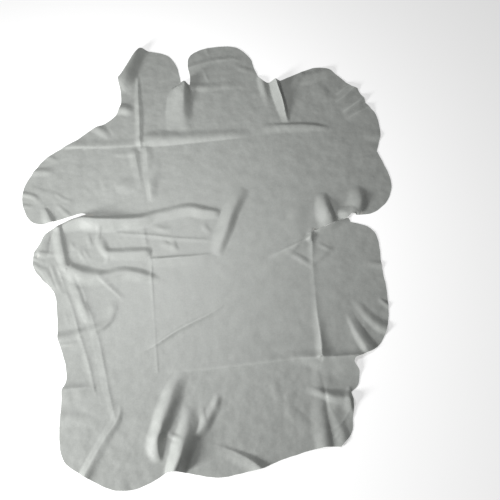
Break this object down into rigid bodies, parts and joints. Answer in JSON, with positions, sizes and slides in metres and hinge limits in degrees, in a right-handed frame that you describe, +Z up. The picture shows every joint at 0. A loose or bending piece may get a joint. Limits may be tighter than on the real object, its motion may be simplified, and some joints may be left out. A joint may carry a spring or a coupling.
{
  "type": "leather hide",
  "caption": "Whole tanned cattle hide spread grain side up, with cheeks, legs and flanks, long storage creases, tents at its notches and a buckled tail edge.",
  "frame": {"origin": "on the floor under the middle of the hide's bounding box", "axes": "+X across the hide, +Y along the backbone from tail to cheeks, +Z up from the floor out of the grain side"},
  "size_m": [2.23, 2.7021, 0.0571],
  "materials": {
    "leather": "satin"
  },
  "bodies": {
    "root": {"hide": "leather"}
  },
  "joints": []
}
